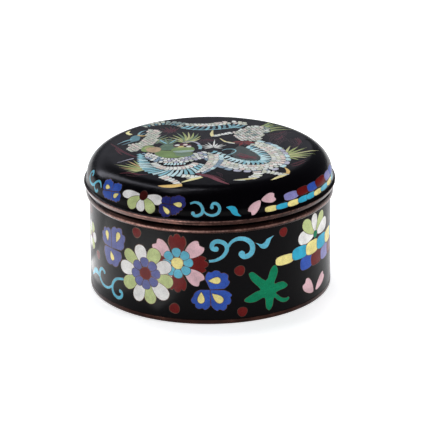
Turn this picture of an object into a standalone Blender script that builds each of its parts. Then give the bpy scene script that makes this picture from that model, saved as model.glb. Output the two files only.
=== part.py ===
"""Round enamel box with a lift-off lid: copper vessel and lid, each under its own skin of enamel.

The origin is at the middle of the foot ring's flat underside, +Z up, metres.
Every piece is a turned profile, drawn in the XZ plane and swept round Z by a Screw modifier.
"""

import math

import bpy

MM = 0.001

# Turning
SEGMENTS = 64
MERGE = 0.00001
SEAM = 0.3 * MM  # clearance between copper and enamel

# Base: the wall, from inside to outside
ENAMEL_RADIUS = 49.0 * MM
ENAMEL_THICKNESS = 1.0 * MM
COPPER_WALL_RADIUS = ENAMEL_RADIUS - ENAMEL_THICKNESS - SEAM
INNER_WALL_RADIUS = 46.2 * MM
ENAMEL_EDGE = 0.3 * MM  # small chamfer at the enamel's two edges

# Base: foot ring and floor
FOOT_RADIUS = 49.1 * MM
FOOT_HEIGHT = 2.0 * MM
FOOT_ROUNDING = 0.6 * MM
FOOT_INNER_RADIUS = 46.9 * MM
UNDERSIDE_HEIGHT = 1.5 * MM
FLOOR_THICKNESS = 1.3 * MM
FLOOR_FILLET = 3.0 * MM
FLOOR_FILLET_STEPS = 3

# Base: the moulded mouth rim, fuller low down than on top
RIM_FOOT_Z = 38.3 * MM
RIM_BELLY_Z = 39.8 * MM
RIM_TOP_Z = 42.1 * MM
RIM_CORE_RADIUS = 48.6 * MM
RIM_BELLY_RADIUS = 50.2 * MM
RIM_STEPS = 3

# Base: the collar inside the mouth that locates the lid
COLLAR_THICKNESS = 1.0 * MM
COLLAR_FOOT_Z = 34.2 * MM
COLLAR_TOP_Z = 46.8 * MM
COLLAR_ROUNDING = 0.35 * MM

# Lid: the bare copper rim that rests on the mouth rim
LID_RIM_Z = RIM_TOP_Z + SEAM
LID_RIM_TOP_Z = 44.5 * MM
LID_RIM_RADIUS = 51.0 * MM
LID_RIM_FOOT_RADIUS = 50.4 * MM
LID_RIM_ROUNDING = 0.35 * MM
LID_INNER_RADIUS = 47.0 * MM

# Lid: the domed enamel top, a quarter round shoulder that runs into a low crown
LID_WALL_RADIUS = 49.8 * MM
SHOULDER_RADIUS = 9.7 * MM
CROWN_RISE = 1.0 * MM
LID_TOP_Z = 57.1 * MM
SHOULDER_STEPS = 8
INNER_SHOULDER_STEPS = 5
CROWN_STEPS = 3
INNER_CROWN_STEPS = 2
LID_ENAMEL_THICKNESS = 0.9 * MM
LID_COPPER_THICKNESS = 1.2 * MM
LOW_ANGLE = 8  # degrees up the shoulder at which the flare out to the rim begins
FLARE_STEPS = 3

COPPER = (0.095, 0.043, 0.026, 1.0)
BLACK_ENAMEL = (0.006, 0.006, 0.009, 1.0)


def arc(centre, radii, start, end, steps):
    """Points on an elliptic arc, from start to end in degrees, both ends included."""
    points = []
    for i in range(steps + 1):
        turn = math.radians(start + (end - start) * i / steps)
        points.append((centre[0] + radii[0] * math.cos(turn), centre[1] + radii[1] * math.sin(turn)))
    return points


def flare(start, bend, end, steps):
    """Points on a curve that leaves start and reaches end, both heading for bend."""
    points = []
    for i in range(steps + 1):
        t = i / steps
        a, b, c = (1 - t) ** 2, 2 * t * (1 - t), t * t
        points.append(tuple(a * p + b * q + c * r for p, q, r in zip(start, bend, end)))
    return points


def dome(depth, crown_steps, shoulder_steps, low_angle):
    """The lid's top, depth inside its outer surface: from the axis over the crown and down the shoulder.

    The crown is part of a large sphere that meets the shoulder with no break.
    """
    reach = LID_WALL_RADIUS - SHOULDER_RADIUS
    crown_radius = (reach**2 + CROWN_RISE**2) / (2 * CROWN_RISE)
    crown_z = LID_TOP_Z - crown_radius
    shoulder_z = crown_z + math.sqrt((crown_radius - SHOULDER_RADIUS) ** 2 - reach**2)
    join = math.degrees(math.atan2(shoulder_z - crown_z, reach))
    crown = crown_radius - depth
    shoulder = SHOULDER_RADIUS - depth
    points = arc((0, crown_z), (crown, crown), 90, join, crown_steps)
    points[0] = (0.0, crown_z + crown)
    points += arc((reach, shoulder_z), (shoulder, shoulder), join, low_angle, shoulder_steps)[1:]
    return points


def turned(name, profile, closed, collection, material):
    """A solid turned from a profile that runs down its outer side; closed for a ring, open when it ends on Z."""
    count = len(profile)
    edges = [(i, i + 1) for i in range(count - 1)]
    if closed:
        edges.append((count - 1, 0))
    mesh = bpy.data.meshes.new(name)
    mesh.from_pydata([(x, 0.0, z) for x, z in profile], edges, [])
    piece = bpy.data.objects.new(name, mesh)
    collection.objects.link(piece)
    screw = piece.modifiers.new("turn", "SCREW")
    screw.axis = "Z"
    screw.angle = 2 * math.pi
    screw.steps = SEGMENTS
    screw.render_steps = SEGMENTS
    screw.use_merge_vertices = True
    screw.merge_threshold = MERGE
    screw.use_smooth_shade = True
    mesh.materials.append(material)
    return piece


def finish(name, colour, roughness, metallic):
    material = bpy.data.materials.new(name)
    material.use_nodes = True
    shader = material.node_tree.nodes["Principled BSDF"]
    shader.inputs["Base Color"].default_value = colour
    shader.inputs["Roughness"].default_value = roughness
    shader.inputs["Metallic"].default_value = metallic
    return material


def copper_base():
    """Floor, wall, foot ring, mouth rim and collar, from the floor's middle over the rim to the underside."""
    floor_z = UNDERSIDE_HEIGHT + FLOOR_THICKNESS
    fillet_centre = (INNER_WALL_RADIUS - FLOOR_FILLET, floor_z + FLOOR_FILLET)
    collar_radius = INNER_WALL_RADIUS - COLLAR_THICKNESS
    rim_reach = RIM_BELLY_RADIUS - RIM_CORE_RADIUS
    rim_centre = (RIM_CORE_RADIUS, RIM_BELLY_Z)
    profile = [(0.0, floor_z)]
    profile += arc(fillet_centre, (FLOOR_FILLET, FLOOR_FILLET), -90, 0, FLOOR_FILLET_STEPS)
    profile += [
        (INNER_WALL_RADIUS, COLLAR_FOOT_Z),
        (collar_radius, COLLAR_FOOT_Z),
        (collar_radius, COLLAR_TOP_Z - COLLAR_ROUNDING),
        (collar_radius + COLLAR_ROUNDING, COLLAR_TOP_Z),
        (INNER_WALL_RADIUS - COLLAR_ROUNDING, COLLAR_TOP_Z),
        (INNER_WALL_RADIUS, COLLAR_TOP_Z - COLLAR_ROUNDING),
        (INNER_WALL_RADIUS, RIM_TOP_Z),
    ]
    profile += arc(rim_centre, (rim_reach, RIM_TOP_Z - RIM_BELLY_Z), 90, 0, RIM_STEPS)
    profile += arc(rim_centre, (rim_reach, RIM_BELLY_Z - RIM_FOOT_Z), 0, -90, RIM_STEPS)[1:]
    profile += [
        (COPPER_WALL_RADIUS, RIM_FOOT_Z),
        (COPPER_WALL_RADIUS, FOOT_HEIGHT),
        (FOOT_RADIUS, FOOT_HEIGHT),
        (FOOT_RADIUS, FOOT_ROUNDING),
        (FOOT_RADIUS - FOOT_ROUNDING, 0.0),
        (FOOT_INNER_RADIUS, 0.0),
        (FOOT_INNER_RADIUS - FOOT_ROUNDING / 2, UNDERSIDE_HEIGHT),
        (0.0, UNDERSIDE_HEIGHT),
    ]
    return profile


def base_enamel():
    """A straight band of enamel between the foot ring and the mouth rim."""
    top = RIM_FOOT_Z - SEAM
    bottom = FOOT_HEIGHT + SEAM
    inner = ENAMEL_RADIUS - ENAMEL_THICKNESS
    return [
        (inner, top),
        (ENAMEL_RADIUS - ENAMEL_EDGE, top),
        (ENAMEL_RADIUS, top - ENAMEL_EDGE),
        (ENAMEL_RADIUS, bottom + ENAMEL_EDGE),
        (ENAMEL_RADIUS - ENAMEL_EDGE, bottom),
        (inner, bottom),
    ]


def copper_lid():
    """A domed shell of even thickness on a stout rim, from the top's middle down the outside and back inside."""
    outer_depth = LID_ENAMEL_THICKNESS + SEAM
    inner_depth = outer_depth + LID_COPPER_THICKNESS
    profile = dome(outer_depth, INNER_CROWN_STEPS, INNER_SHOULDER_STEPS, 0)
    profile += [
        (LID_WALL_RADIUS - outer_depth, LID_RIM_TOP_Z),
        (LID_RIM_RADIUS - LID_RIM_ROUNDING, LID_RIM_TOP_Z),
        (LID_RIM_RADIUS, LID_RIM_TOP_Z - LID_RIM_ROUNDING),
        (LID_RIM_FOOT_RADIUS, LID_RIM_Z + LID_RIM_ROUNDING),
        (LID_RIM_FOOT_RADIUS - LID_RIM_ROUNDING, LID_RIM_Z),
        (LID_INNER_RADIUS + LID_RIM_ROUNDING, LID_RIM_Z),
        (LID_INNER_RADIUS, LID_RIM_Z + LID_RIM_ROUNDING),
    ]
    profile += reversed(dome(inner_depth, INNER_CROWN_STEPS, INNER_SHOULDER_STEPS, 0))
    return profile


def lid_enamel():
    """The enamel skin over the lid: crown, shoulder, and a hollow flare out to the copper rim's edge."""
    foot_z = LID_RIM_TOP_Z + SEAM
    flare_end = (LID_RIM_RADIUS - LID_RIM_ROUNDING, foot_z)
    outer = dome(0.0, CROWN_STEPS, SHOULDER_STEPS, LOW_ANGLE)
    wall_end = outer[-1]
    outer += flare(wall_end, (wall_end[0], foot_z), flare_end, FLARE_STEPS)[1:]
    inner = dome(LID_ENAMEL_THICKNESS, INNER_CROWN_STEPS, INNER_SHOULDER_STEPS, 0)
    inner.append((LID_WALL_RADIUS - LID_ENAMEL_THICKNESS, foot_z))
    return outer + list(reversed(inner))


def build():
    for thing in list(bpy.data.objects):
        bpy.data.objects.remove(thing, do_unlink=True)
    collection = bpy.data.collections.new("enamel_lidded_box")
    bpy.context.scene.collection.children.link(collection)
    copper = finish("copper", COPPER, 0.42, 1.0)
    enamel = finish("black_enamel", BLACK_ENAMEL, 0.08, 0.0)
    turned("copper_base", copper_base(), False, collection, copper)
    turned("base_enamel", base_enamel(), True, collection, enamel)
    turned("copper_lid", copper_lid(), False, collection, copper)
    turned("lid_enamel", lid_enamel(), False, collection, enamel)


build()
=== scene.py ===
"""Round cloisonne box: black enamel over copper, flowers round base and lid, a dragon on the lid's top.

The enamel lies flush between its wires, as on the real box. Each skin is therefore one smooth surface that
is cut along every wire: the picture is drawn flat in millimetres, cut into cells, and laid on the turned
shape.
"""

import bisect
import math
import random

import bmesh
import bpy
import numpy as np
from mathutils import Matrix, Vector, geometry, noise


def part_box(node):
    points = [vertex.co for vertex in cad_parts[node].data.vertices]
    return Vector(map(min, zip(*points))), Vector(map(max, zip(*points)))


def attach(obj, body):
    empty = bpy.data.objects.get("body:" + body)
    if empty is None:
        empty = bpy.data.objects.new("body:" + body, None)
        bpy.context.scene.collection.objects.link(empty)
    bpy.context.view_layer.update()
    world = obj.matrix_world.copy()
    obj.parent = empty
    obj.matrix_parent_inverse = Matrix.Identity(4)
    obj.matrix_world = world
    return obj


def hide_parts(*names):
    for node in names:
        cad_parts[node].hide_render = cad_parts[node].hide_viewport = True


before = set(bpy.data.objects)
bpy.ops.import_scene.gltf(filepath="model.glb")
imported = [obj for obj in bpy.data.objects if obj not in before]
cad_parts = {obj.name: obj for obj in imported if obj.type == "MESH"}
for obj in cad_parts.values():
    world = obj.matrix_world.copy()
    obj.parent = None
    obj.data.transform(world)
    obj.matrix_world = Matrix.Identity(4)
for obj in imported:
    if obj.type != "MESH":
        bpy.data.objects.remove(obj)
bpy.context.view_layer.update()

MM = 0.001
SEAM = 0.3  # clearance between copper and enamel in the solids
FIT = 0.02  # how far the copper here stays behind the enamel

# Sizes read from the frame, in millimetres
BODY_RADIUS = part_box("base_enamel")[1].x / MM
BAND_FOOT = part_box("base_enamel")[0].z / MM - SEAM
BAND_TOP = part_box("base_enamel")[1].z / MM + SEAM
RIM_BELLY_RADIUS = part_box("copper_base")[1].x / MM
COLLAR_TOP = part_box("copper_base")[1].z / MM
LID_RIM_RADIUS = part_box("copper_lid")[1].x / MM
LID_RIM_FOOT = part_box("copper_lid")[0].z / MM
LID_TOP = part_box("lid_enamel")[1].z / MM

# The turned forms, as in the solids
LID_RIM_TOP = 44.5
LID_WALL_RADIUS = 49.8
SHOULDER_RADIUS = 9.7
CROWN_RISE = 1.0
FLARE_FROM = 8  # degrees up the shoulder where the flare to the rim begins
FLARE_INSET = 0.22  # from the rim's edge in to the flare's foot
FLARE_LIFT = 0.08  # the flare's foot above the rim
FLARE_LIP = 0.35  # height over which the flare turns down to its foot
RIM_LIFT = 0.06  # the lid's copper rim comes close under the flare
RIM_SWELL = 0.25  # how far the lid's rim swells out over its foot
RIM_TOP = LID_RIM_FOOT - SEAM
RIM_BELLY = 39.8
RIM_CORE_RADIUS = 48.6
INNER_WALL_RADIUS = 46.2
COLLAR_THICKNESS = 1.0
COLLAR_FOOT = 34.2
FLOOR_TOP = 2.8
UNDERSIDE = 1.5
FOOT_RADIUS = 49.1
FOOT_INNER_RADIUS = 46.9
FOOT_ROUNDING = 0.6
LID_INNER_RADIUS = 47.0
LID_RIM_FOOT_RADIUS = 50.4
SKIN = 0.9  # thickness of an enamel skin
LID_SHEET = 1.2

# Steps along the lid's outer line, and how many of them a step of its copper sheet takes
CROWN_STEPS = 24
SHOULDER_STEPS = 60
FLARE_STEPS = 20
SHOULDER_END = CROWN_STEPS + SHOULDER_STEPS
SHEET_STEP = 6

# Points that the skins need for their curves, whatever the picture
COLUMNS = 216  # straight steps round a skin
WALL_ROWS = 8
CROWN_RINGS = (((6, 12), 24), ((18, 24, 30, 35), 54))  # distances from the middle, and points on each ring
EDGE_RINGS = 38
EDGE_RINGS_FROM = 38.5

WIRE = 0.2  # width of a wire where it shows
LID_BAND_LIFT = 0.8  # the lid's flower band above the edge of its skin
LID_BAND_RADIUS = 52.0  # where the lid's flower band keeps its drawn width
RANDOM = random.Random(7)


# Flat outlines, in millimetres


def polar(centre, heading, reach):
    """The point at a heading, in degrees, and a distance from centre."""
    turn = math.radians(heading)
    return centre[0] + reach * math.cos(turn), centre[1] + reach * math.sin(turn)


def disc(centre, radius, sides=22, wobble=0.0):
    """A round cell, a little uneven if wobble is set."""
    points = []
    for i in range(sides):
        heading = 360 * i / sides
        uneven = 1 + wobble * math.sin(math.radians(3 * heading) + centre[0])
        points.append(polar(centre, heading, radius * uneven))
    return points


def set_out(centre, heading, places):
    """Points from places (along, across) of a shape that stands at a point and faces along heading."""
    turn = math.radians(heading)
    points = []
    for along, across in places:
        x = along * math.cos(turn) - across * math.sin(turn)
        y = along * math.sin(turn) + across * math.cos(turn)
        points.append((centre[0] + x, centre[1] + y))
    return points


def petal(root, heading, near, far, width, full=0.3, notch=0.0, tip=0.0, sides=28):
    """An egg from near to far along heading; full moves its widest part outwards.

    notch dents the outer end and tip draws it to a point.
    """
    middle, half = (near + far) / 2, (far - near) / 2
    places = []
    for i in range(sides):
        swing = 2 * math.pi * i / sides
        if swing > math.pi:
            swing -= 2 * math.pi
        along = middle + half * math.cos(swing)
        along += tip * math.exp(-((swing / 0.35) ** 2)) - notch * math.exp(-((swing / 0.3) ** 2))
        places.append((along, width / 2 * math.sin(swing) * (1 + full * math.cos(swing))))
    return set_out(root, heading, places)


def drop(root, heading, length, width, sides=18):
    """A drop with its point at root."""
    places = []
    for i in range(sides):
        swing = 2 * math.pi * i / sides
        across = width / 2 * math.sin(swing) * math.sin(swing / 2) ** 1.2 * 1.3
        places.append((length * (1 - math.cos(swing)) / 2, across))
    return set_out(root, heading, places)


def curve_point(a, b, c, d, t):
    """A point between b and c on the smooth curve through four points."""
    found = []
    for p, q, r, s in zip(a, b, c, d):
        value = 2 * q + (r - p) * t + (2 * p - 5 * q + 4 * r - s) * t * t
        value += (3 * q - p - 3 * r + s) * t**3
        found.append(0.5 * value)
    return tuple(found)


def smooth_line(points, steps):
    """A curve through given points, steps to each stretch."""
    ends = [points[0]] + list(points) + [points[-1]]
    line = []
    for i in range(1, len(ends) - 2):
        line += [curve_point(*ends[i - 1 : i + 3], j / steps) for j in range(steps)]
    line.append(tuple(points[-1]))
    return line


def sides_of(line):
    """The unit vector to the left of a line at each of its points."""
    found = []
    for i in range(len(line)):
        a, b = line[max(0, i - 1)], line[min(len(line) - 1, i + 1)]
        x, y = b[0] - a[0], b[1] - a[1]
        length = math.hypot(x, y) or 1.0
        found.append((-y / length, x / length))
    return found


def ribbon(line, halves, low=-1.0, high=1.0):
    """The outline along a line with a half width at each point.

    low and high are its edges across the line, -1 the right side, 1 the left.
    """
    left, right = [], []
    for point, side, half in zip(line, sides_of(line), halves):
        left.append((point[0] + side[0] * half * high, point[1] + side[1] * half * high))
        right.append((point[0] + side[0] * half * low, point[1] + side[1] * half * low))
    return right + left[::-1]


def stroke(points, start_width, middle_width, end_width, steps=5):
    """A ribbon along a curve, its width going from start over middle to end."""
    line = smooth_line(points, steps)
    halves = []
    for i in range(len(line)):
        t = i / (len(line) - 1)
        width = (1 - t) ** 2 * start_width + 2 * t * (1 - t) * middle_width + t * t * end_width
        halves.append(width / 2)
    return ribbon(line, halves)


def block(centre, width, height, sides=24):
    """A block with well rounded sides."""
    places = []
    for i in range(sides):
        swing = 2 * math.pi * i / sides
        x = width / 2 * math.copysign(abs(math.cos(swing)) ** 0.75, math.cos(swing))
        y = height / 2 * math.copysign(abs(math.sin(swing)) ** 0.6, math.sin(swing))
        places.append((x, y))
    return set_out(centre, 0, places)


def area_of(outline):
    """The area of an outline, negative if it runs clockwise."""
    return sum(a[0] * b[1] - b[0] * a[1] for a, b in zip(outline, outline[1:] + outline[:1])) / 2


def shrunk(outline, gap):
    """The outline moved inwards by gap."""
    if area_of(outline) < 0:
        outline = outline[::-1]
    moved = []
    count = len(outline)
    for i, point in enumerate(outline):
        a, b = outline[i - 1], outline[(i + 1) % count]
        x, y = b[0] - a[0], b[1] - a[1]
        length = math.hypot(x, y) or 1.0
        moved.append((point[0] - y / length * gap, point[1] + x / length * gap))
    return moved


class Drawing:
    """A flat picture: outlines with their finishes, later ones on top."""

    def __init__(self):
        self.cells = []

    def cell(self, outline, finish, wire=WIRE):
        """One cell of enamel inside its own wire."""
        self.cells.append((outline, "wire"))
        self.cells.append((shrunk(outline, wire), finish))

    def joined(self, outlines, finish, wire=WIRE):
        """Several outlines that make one cell, with a wire only round the whole."""
        self.cells += [(outline, "wire") for outline in outlines]
        self.cells += [(shrunk(outline, wire), finish) for outline in outlines]

    def spread(self, change):
        """This picture with every point moved by change."""
        new = Drawing()
        new.cells = [([change(p) for p in outline], finish) for outline, finish in self.cells]
        return new


# Motifs of the flower bands


def ruffled(root, start, end, reaches, waves=3, frill=0.08, sides=30):
    """A lobe from root between two headings: reaches are its lengths in turn, and its edge is scalloped."""
    points = [tuple(root)]
    for i in range(sides + 1):
        t = i / sides
        scallop = 1 - frill * (1 - abs(math.sin(math.pi * waves * t))) ** 1.5
        points.append(polar(root, start + (end - start) * t, between(reaches, t) * scallop))
    return points


def flower(drawing, centre, outer, inner, ring_finish, eye, eye_finish):
    """Outer petals one by one, then a ring of eight small ones, not quite even, then the eye.

    Each outer petal is (heading, near, far, width, finish, notch).
    """
    for heading, near, far, width, finish, notch in outer:
        drawing.cell(petal(centre, heading, near, far, width, 0.34, notch), finish)
    if inner:
        for i in range(8):
            heading = 45 * i + 6 + 3 * math.sin(5.0 * i)
            drawing.cell(petal(centre, heading, eye * 0.8, inner, inner * 0.6, 0.24, sides=20), ring_finish)
    drawing.cell(disc(centre, eye, wobble=0.03), eye_finish)


def daisy(drawing, centre):
    """The large flower: five green petals and five white ones, a slate ring and a red eye."""
    outer = []
    for finish, petals in (
        ("pale_green", ((64, 12.5), (142, 12.9), (214, 13.3), (282, 13), (348, 12.5))),
        ("white", ((104, 12.2), (177, 13), (250, 13.4), (316, 13.6), (25, 12.6))),
    ):
        for heading, far in petals:
            outer.append((heading, 3.4, far, 5.7 + 0.3 * math.sin(heading), finish, 0.0))
    flower(drawing, centre, outer, 6.9, "slate_blue", 2.8, "dark_red")


def rosette(drawing, centre):
    """The second flower: notched pink petals between ruffled red ones, a turquoise ring, a yellow eye."""
    for i in range(4):
        lobe = ruffled(centre, 90 * i - 25, 90 * i + 25, (9.8, 12.2, 12.5, 12.2, 9.8), 3, 0.1)
        drawing.cell(lobe, "dark_red")
    outer = []
    for heading, far in ((41, 13.6), (140, 13.1), (230, 12.8), (321, 13.2)):
        outer.append((heading, 3.6, far, 6.3, "pink", 1.5))
    flower(drawing, centre, outer, 6.6, "turquoise", 2.65, "yellow")


def pansy(drawing, centre, lobes, drops, finish):
    """A flower of ruffled lobes with yellow drops on them.

    A lobe is (first heading, last heading, reaches). A drop is (x, y, heading, length, width), with its
    point at x, y.
    """
    for start, end, reaches in lobes:
        drawing.cell(ruffled(centre, start, end, reaches, 4, 0.1), finish)
    for x, y, heading, length, width in drops:
        drawing.cell(drop((x, y), heading, length, width), "yellow")


def scroll(drawing, strokes, blobs, finish):
    """Tapering ribbons with a round end on each curl. A blob is (x, y, radius)."""
    outlines = [stroke(points, *widths) for points, widths in strokes]
    outlines += [disc((x, y), radius, 16) for x, y, radius in blobs]
    drawing.joined(outlines, finish, 0.14)


def cloud_row(drawing, blocks):
    """Overlapping rounded blocks, each over the one before. A block is (x, y, width, height, finish)."""
    for x, y, width, height, finish in blocks:
        drawing.cell(block((x, y), width, height), finish)


def base_band():
    """The front half of the wall's picture, x round the wall from the front's middle, y up."""
    d = Drawing()
    for x, y, radius in (
        (-31.2, 35.7, 2.2), (-14.7, 6.2, 2.3), (11.6, 22.3, 2.3), (12.6, 4.7, 2.2), (31, 35.4, 2.1),
        (-57.6, 18.6, 2), (-67, 35.5, 2.2), (72.5, 7, 2.3),
    ):
        d.cell(disc((x, y), radius, 20, 0.05), "dark_red")
    # The pansy at the left, slate blue
    pansy(
        d, (-45.8, 25.4),
        (
            (182, 358, (5.4, 6.2, 7.6, 8, 7.9, 8, 7.4, 6.8, 6.2)), (92, 178, (8, 8.8, 9.2, 8.8, 7.8, 5.6)),
            (4, 92, (6.6, 8.8, 11, 11.8, 10.4, 8.4)),
        ),
        ((-48.5, 27.2, 98, 4.9, 2.8), (-42.8, 28.4, 68, 5.4, 2.9), (-46.7, 24.2, 292, 4.5, 2.9)),
        "slate_blue",
    )
    rosette(d, (-13.3, 25.6))
    daisy(d, (-27.3, 19.2))
    # The pansy at the front, royal blue
    pansy(
        d, (-0.3, 14.8),
        (
            (2, 114, (6.2, 8.6, 9.5, 9.2, 8.6, 7.8, 5.4)), (178, 272, (4.2, 6.6, 9, 9.7, 9.6, 9, 7.2)),
            (272, 358, (7.2, 9.6, 10.6, 10.5, 9.9, 9.3, 6.4)),
        ),
        ((-1.3, 18.6, 2, 5.4, 3.3), (-3.8, 14.2, 268, 5.4, 3.3), (0.2, 13.4, 318, 6.1, 3.6)), "royal_blue",
    )
    # The curling stem to the right of the flowers
    curl = (
        (-0.7, 26.9), (2, 27.3), (4.7, 28.7), (6.4, 31.2), (6.1, 33.6), (4.3, 35), (2.1, 35.2), (0.7, 34),
        (0.8, 32.3), (2.2, 31.7),
    )
    arch = (
        (6.4, 31.6), (8.2, 34.5), (10.8, 35.8), (13.9, 35.4), (16.4, 33.4), (17, 30.8), (16, 28.7),
        (13.7, 28), (12.2, 29),
    )
    scroll(
        d, ((curl, (1.2, 2.4, 1.9)), (arch, (1.1, 2.9, 2.2))), ((2.2, 32, 1.2), (12.5, 29.3, 1.45)),
        "turquoise",
    )
    blade = (
        (17.4, 33.7), (19.3, 32.1), (20.4, 30.7), (22.2, 30), (23.7, 30.7), (24.6, 32.2), (25.2, 33.6),
        (26.5, 35), (24.6, 34.6), (23.1, 34.1), (22.2, 33), (20.9, 32.4), (19.3, 32.9),
    )
    d.cell(blob(blade, 3), "turquoise", 0.14)
    # The green leaf, five lobes and a stem
    leaf = (
        (27.2, 22.2), (28.3, 20.1), (27.9, 17.7), (26.6, 14.6), (28.3, 14.6), (30.8, 14.5), (33.2, 12.4),
        (31.9, 11.3), (29.6, 11), (27.4, 10.4), (28.4, 9.2), (30.1, 7.8), (32.1, 7.1), (33.7, 7.2),
        (33.9, 6.1), (32.4, 5.3), (30.1, 5.6), (27.9, 7), (26.4, 8.3), (25.7, 5), (24.2, 3.4), (22.6, 4.9),
        (22, 9.2), (18.6, 8.2), (15.8, 8), (13.4, 9), (14.1, 10.4), (18.2, 12.5), (20.1, 13.2),
        (16.5, 17.3), (15.3, 20), (15.8, 21), (17.6, 20.8), (22.6, 16.6), (24.4, 20.2), (25.8, 22),
    )
    d.cell(blob(leaf, 3), "emerald", 0.14)
    # The half flower and the rows of blocks under it
    fan = (
        (174, 1, 11.8, 6, "white", 0), (138, 1, 11.6, 5.4, "pale_green", 0), (96, 1, 9.2, 4.6, "white", 0),
        (48, 1, 10.6, 5, "pale_green", 0), (12, 1, 11.8, 5.6, "white", 0),
    )
    flower(d, (50.6, 28.9), fan, 0, "", 1.7, "emerald")
    low = (
        (44.2, 18.8, 8.4, 6.2, "royal_blue"), (51.8, 18.7, 9.4, 6.4, "dark_red"),
        (59.6, 18.5, 8.6, 6.2, "lilac"), (67, 18.4, 8.6, 6.2, "dark_red"),
        (74.4, 18.2, 8, 6.2, "royal_blue"),
    )
    cloud_row(d, low)
    high = (
        (31.9, 23.4, 9.8, 4.5, "yellow"), (40.2, 24.2, 9.6, 5.8, "cyan"), (48.4, 24.1, 9.6, 6.2, "yellow"),
        (56.6, 24.1, 9.8, 6.2, "cyan"), (64.8, 24, 9.6, 6, "yellow"), (72.8, 23.8, 9, 5.8, "turquoise"),
    )
    cloud_row(d, high)
    # The pink bud
    d.cell(petal((49.0, 4.6), 136, 0, 9.4, 5.6, 0.35, 1.3), "pink")
    d.cell(petal((50.8, 4.8), 30, 0, 9.8, 4.6, 0.3, 1.0), "pink")
    # The curling stem at the left, the other way round
    hook = (
        (-38.6, 14), (-42.5, 13.1), (-44.9, 11.2), (-46, 8.6), (-45.3, 6.2), (-42.9, 5), (-40.5, 5.7),
        (-39.8, 7.4), (-40.6, 8.5),
    )
    wave = (
        (-45.4, 9.8), (-48, 7.7), (-51, 7), (-54.2, 7.7), (-56.3, 9.8), (-55.9, 12.4), (-54, 13.8),
        (-52, 13.3),
    )
    scroll(
        d, ((hook, (1.2, 1.9, 1.4)), (wave, (1, 2, 1.4))), ((-40.8, 8.2, 0.95), (-51.9, 13, 0.95)),
        "turquoise",
    )
    mark(d, "turquoise", 0.14, (0.5, 5, 0.3), (-56.2, 9.4), (-59, 10.8), (-62.2, 10.2), (-66.4, 6.8))
    # A small flower in the gap beside the pansy
    bloom = [(60 * i, 1.0, 6.4, 4.4, "pale_green" if i % 2 else "white", 0.0) for i in range(6)]
    flower(d, (-66.0, 24.6), bloom, 0, "", 1.7, "dark_red")
    return d


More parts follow.
